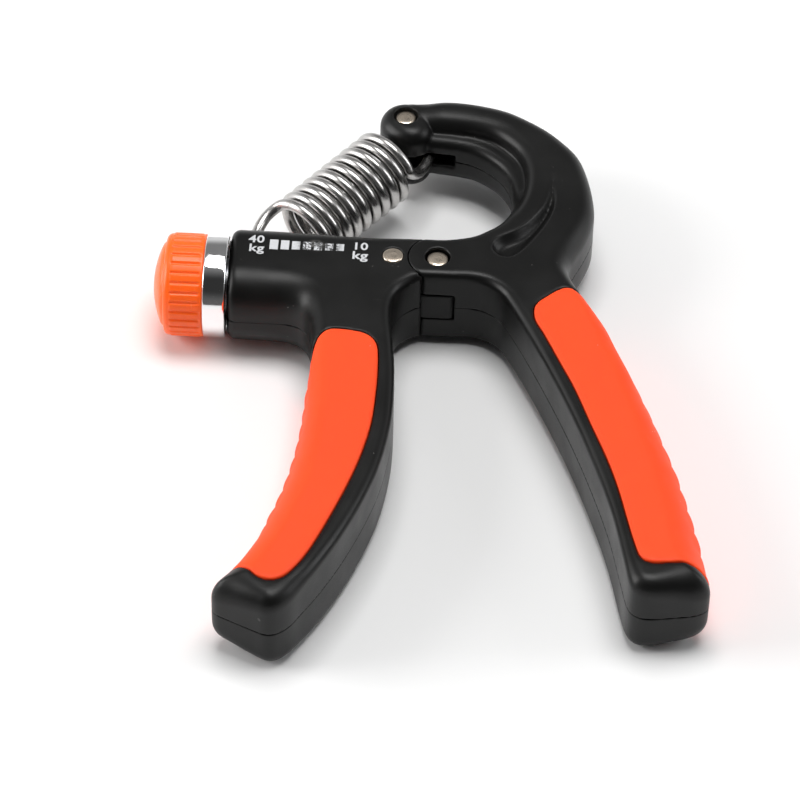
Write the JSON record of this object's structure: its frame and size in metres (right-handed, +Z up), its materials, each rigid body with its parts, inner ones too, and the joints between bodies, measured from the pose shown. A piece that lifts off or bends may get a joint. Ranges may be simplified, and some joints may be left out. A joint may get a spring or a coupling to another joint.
{
  "type": "hand grip strengthener",
  "caption": "Sprung A-shaped hand exerciser: two pivoting handles with soft grips, an extension spring to a curved arm, and a knob that sets the resistance.",
  "frame": {"origin": "on the main pivot's axis, in the plane of the handles' flat underside", "axes": "+Z up along the pivot axis, +X along the barrel from the knob towards the pivot, +Y towards the curved arm and spring; the handles point towards -Y"},
  "size_m": [0.1071, 0.1392, 0.0203],
  "materials": {
    "moulded_black": "satin moulded ABS, black",
    "hinge_black": "satin moulded nylon, black",
    "soft_orange": "soft-touch thermoplastic rubber, orange",
    "knob_orange": "semi-gloss moulded ABS, orange",
    "core_black": "moulded ABS, black",
    "chrome": "mirror chrome",
    "spring_steel": "bright nickel-plated spring steel",
    "pin_steel": "turned nickel-plated steel",
    "zinc_steel": "zinc-plated steel",
    "bronze": "sintered bronze"
  },
  "bodies": {
    "left_handle": {"left_shell_top": "moulded_black", "left_shell_bottom": "moulded_black", "hinge_tongue": "hinge_black", "left_pin": "pin_steel", "left_grip": "soft_orange", "left_screws": "zinc_steel", "end_bearing": "bronze", "inner_bush": "bronze"},
    "right_handle": {"right_shell_top": "moulded_black", "right_shell_bottom": "moulded_black", "pivot_pin": "pin_steel", "right_grip": "soft_orange", "right_screws": "zinc_steel"},
    "knob": {"knob_cap": "knob_orange", "knob_core": "core_black", "chrome_ring": "chrome", "thrust_washer": "zinc_steel", "adjusting_screw": "zinc_steel", "retaining_clip": "zinc_steel"},
    "carriage": {"carriage_nut": "zinc_steel", "hook_pin": "pin_steel"},
    "arm_pin": {"arm_pin": "pin_steel"},
    "spring_coil": {"spring_coil": "spring_steel"},
    "spring_leg": {"spring_leg": "spring_steel"},
    "spring_hook": {"spring_hook": "spring_steel"}
  },
  "joints": [
    {"name": "squeeze", "type": "hinge", "parent": "left_handle", "child": "right_handle", "pos_m": [0, 0, 0.0087], "axis": [0, 0, -1], "range_deg": [0, 30]},
    {"name": "knob_turn", "type": "hinge", "parent": "left_handle", "child": "knob", "pos_m": [-0.045, -0.002, 0.0087], "axis": [1, 0, 0], "range_deg": [-2520, 0]},
    {"name": "carriage_slide", "type": "slide", "parent": "left_handle", "child": "carriage", "axis": [1, 0, 0], "range_m": [0, 0.0141]},
    {"name": "spring_lean", "type": "hinge", "parent": "right_handle", "child": "arm_pin", "pos_m": [-0.0082, 0.0422, 0.0087], "axis": [0, 0, 1], "range_deg": [0, 17.2]},
    {"name": "spring_swing", "type": "hinge", "parent": "arm_pin", "child": "spring_coil", "pos_m": [-0.0082, 0.0422, 0.0087], "axis": [0, 0, 1], "range_deg": [0, 11.25]},
    {"name": "spring_stretch", "type": "slide", "parent": "spring_coil", "child": "spring_leg", "axis": [-0.5577, -0.83, 0], "range_m": [0, 0.01435], "deforming": ["spring_coil", "spring_leg"]},
    {"name": "spring_slack", "type": "slide", "parent": "spring_leg", "child": "spring_hook", "axis": [-0.5577, -0.83, 0], "range_m": [-0.0061, 0], "deforming": ["spring_hook"]}
  ],
  "couplings": [
    {"joint": "carriage_slide", "follows": "knob_turn", "m_per_rad": -0.00031831},
    {"joint": "spring_lean", "follows": "knob_turn", "ratio": -0.0067924},
    {"joint": "spring_slack", "follows": "knob_turn", "m_per_rad": 0.00013777},
    {"joint": "spring_swing", "follows": "squeeze", "ratio": 0.37296},
    {"joint": "spring_stretch", "follows": "squeeze", "m_per_rad": 0.027286}
  ]
}
